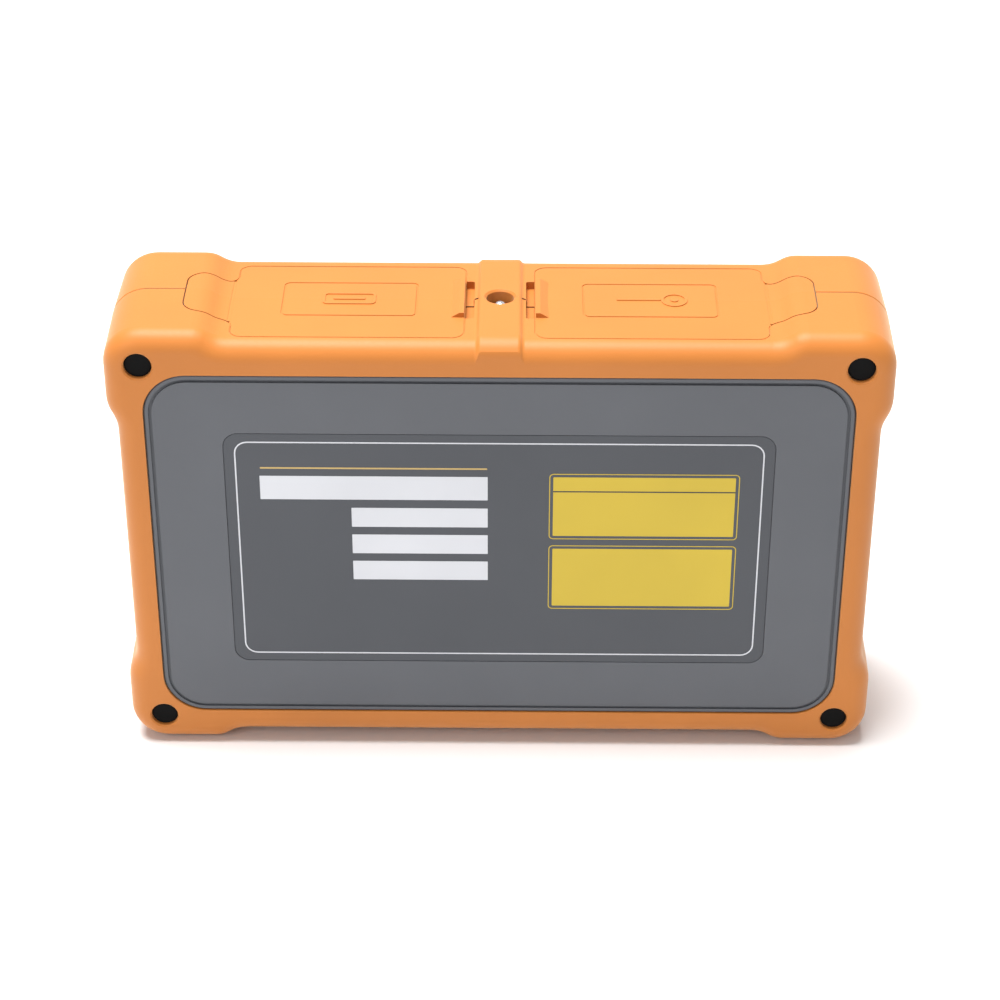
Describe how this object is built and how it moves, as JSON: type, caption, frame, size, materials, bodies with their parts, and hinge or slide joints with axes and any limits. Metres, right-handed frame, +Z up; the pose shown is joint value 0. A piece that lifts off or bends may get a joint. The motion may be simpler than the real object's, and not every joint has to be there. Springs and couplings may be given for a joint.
{
  "type": "optical time domain reflectometer",
  "caption": "Handheld fibre tester in a two-part shell with corner pads, a screen and keys in front, a label panel behind and hinged covers over its sockets.",
  "frame": {"origin": "bottom centre of the housing, half way through its depth", "axes": "+X to the right seen from the labelled back, +Y from the back towards the screen, +Z up"},
  "size_m": [0.176, 0.0434, 0.1114],
  "materials": {
    "orange_shell": "fine matt moulded shell",
    "orange_rubber": "matt rubber",
    "grey_panel": "satin grey plastic",
    "label_film": "printed film, places for text left bare",
    "black_steel": "black oxide steel",
    "black_rubber": "soft black plugs",
    "steel": "zinc plated steel",
    "brass": "knurled brass",
    "touch_glass": "dark bordered touch glass",
    "foam": "black foam",
    "display": "display panel",
    "silicone": "silicone sheet",
    "key_rubber": "grey silicone keys",
    "circuit_board": "green solder mask",
    "clear_plastic": "clear plastic",
    "metal_can": "tinned can",
    "battery_foil": "pouch foil",
    "black_plastic": "black plastic",
    "fibre": "wound coated fibre",
    "adapter_plastic": "green adapter plastic",
    "nickel": "nickel plated metal"
  },
  "bodies": {
    "housing": {"rear_shell": "orange_shell", "front_shell": "orange_shell", "rear_panel": "grey_panel", "rating_label": "label_film", "case_screws": "black_steel", "screw_plugs": "black_rubber", "thread_inserts": "brass", "front_panel": "grey_panel", "touch_glass": "touch_glass", "lcd_foam": "foam", "lcd_module": "display", "keypad_mat": "silicone", "key_board": "circuit_board", "key_board_screws": "steel", "status_light_pipe": "clear_plastic", "main_board": "circuit_board", "main_board_screws": "steel", "optical_module": "metal_can", "battery_cell": "battery_foil", "fibre_spool": "black_plastic", "fibre_coil": "fibre", "torch_led": "clear_plastic", "torch_holder": "black_plastic", "torch_board": "circuit_board", "optical_well": "black_plastic", "otdr_adapter": "adapter_plastic", "power_meter_adapter": "nickel", "fault_locator_adapter": "nickel", "usb_well": "black_plastic", "usb_a_socket": "nickel", "usb_c_socket": "nickel", "usb_board": "circuit_board", "optical_cover_anchor": "orange_rubber", "usb_cover_anchor": "orange_rubber"},
    "optical_cover": {"optical_cover": "orange_rubber"},
    "usb_cover": {"usb_cover": "orange_rubber"},
    "key_power": {"key_power": "key_rubber"},
    "key_escape": {"key_escape": "key_rubber"},
    "key_live": {"key_live": "key_rubber"},
    "key_average": {"key_average": "key_rubber"},
    "key_enter": {"key_enter": "key_rubber"},
    "key_up": {"key_up": "key_rubber"},
    "key_down": {"key_down": "key_rubber"},
    "key_left": {"key_left": "key_rubber"},
    "key_right": {"key_right": "key_rubber"}
  },
  "joints": [
    {"name": "optical_cover_hinge", "type": "hinge", "parent": "housing", "child": "optical_cover", "pos_m": [0.0603, 0, 0.109], "axis": [0, 1, 0], "range_deg": [0, 110]},
    {"name": "usb_cover_hinge", "type": "hinge", "parent": "housing", "child": "usb_cover", "pos_m": [-0.0603, 0, 0.109], "axis": [0, -1, 0], "range_deg": [0, 110]},
    {"name": "key_power_press", "type": "slide", "parent": "housing", "child": "key_power", "axis": [0, -1, 0], "range_m": [0, 0.0008], "stiffness_N_per_m": 2500},
    {"name": "key_escape_press", "type": "slide", "parent": "housing", "child": "key_escape", "axis": [0, -1, 0], "range_m": [0, 0.0008], "stiffness_N_per_m": 2500},
    {"name": "key_live_press", "type": "slide", "parent": "housing", "child": "key_live", "axis": [0, -1, 0], "range_m": [0, 0.0008], "stiffness_N_per_m": 2500},
    {"name": "key_average_press", "type": "slide", "parent": "housing", "child": "key_average", "axis": [0, -1, 0], "range_m": [0, 0.0008], "stiffness_N_per_m": 2500},
    {"name": "key_enter_press", "type": "slide", "parent": "housing", "child": "key_enter", "axis": [0, -1, 0], "range_m": [0, 0.0008], "stiffness_N_per_m": 2500},
    {"name": "key_up_press", "type": "slide", "parent": "housing", "child": "key_up", "axis": [0, -1, 0], "range_m": [0, 0.0008], "stiffness_N_per_m": 2500},
    {"name": "key_down_press", "type": "slide", "parent": "housing", "child": "key_down", "axis": [0, -1, 0], "range_m": [0, 0.0008], "stiffness_N_per_m": 2500},
    {"name": "key_left_press", "type": "slide", "parent": "housing", "child": "key_left", "axis": [0, -1, 0], "range_m": [0, 0.0008], "stiffness_N_per_m": 2500},
    {"name": "key_right_press", "type": "slide", "parent": "housing", "child": "key_right", "axis": [0, -1, 0], "range_m": [0, 0.0008], "stiffness_N_per_m": 2500}
  ]
}
